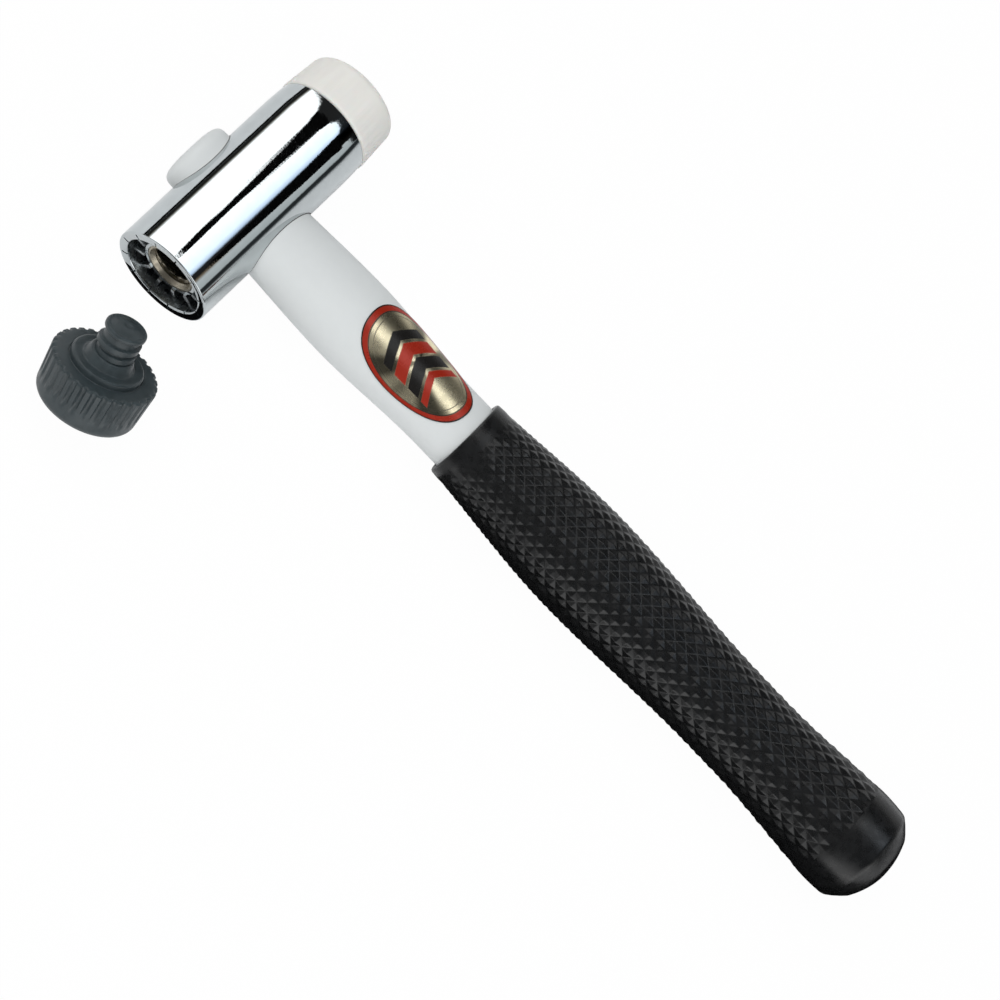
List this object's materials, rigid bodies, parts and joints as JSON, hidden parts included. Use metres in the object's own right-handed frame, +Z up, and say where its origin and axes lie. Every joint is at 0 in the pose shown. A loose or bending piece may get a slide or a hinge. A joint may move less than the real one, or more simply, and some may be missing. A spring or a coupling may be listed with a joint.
{
  "type": "soft face hammer",
  "caption": "Soft face hammer with a chrome barrel head, a screw-in nylon face, a loose plastic face beside its open threaded socket, an oval polymer shaft and a knurled rubber grip.",
  "frame": {"origin": "on the surface the tool lies on, under the middle of its bounding box", "axes": "+X along the handle from the head to the grip's end, +Y along the barrel towards the nylon face, +Z up from the surface"},
  "size_m": [0.2882, 0.134, 0.0342],
  "materials": {
    "chrome_plate": "bright chrome plate on a die casting",
    "bush_brass": "dull machined brass",
    "white_nylon": "satin moulded nylon",
    "grey_plastic": "matt moulded plastic",
    "white_polymer": "satin moulded polymer",
    "cured_resin": "cured resin",
    "black_rubber": "knurled rubber with a smooth collar and end",
    "gold_foil": "printed gold foil"
  },
  "bodies": {
    "hammer": {"head_casting": "chrome_plate", "open_socket_insert": "bush_brass", "nylon_socket_insert": "bush_brass", "handle_shaft": "white_polymer", "eye_bond": "cured_resin", "grip_sleeve": "black_rubber", "handle_label": "gold_foil"},
    "nylon_face": {"nylon_face": "white_nylon"},
    "plastic_face": {"plastic_face": "grey_plastic"}
  },
  "joints": [
    {"name": "nylon_face_unscrew", "type": "slide", "parent": "hammer", "child": "nylon_face", "axis": [0, 1, 0], "range_m": [0, 0.02]},
    {"name": "plastic_face_lift", "type": "slide", "parent": "hammer", "child": "plastic_face", "axis": [0, 0, 1], "range_m": [0, 0.06]}
  ]
}
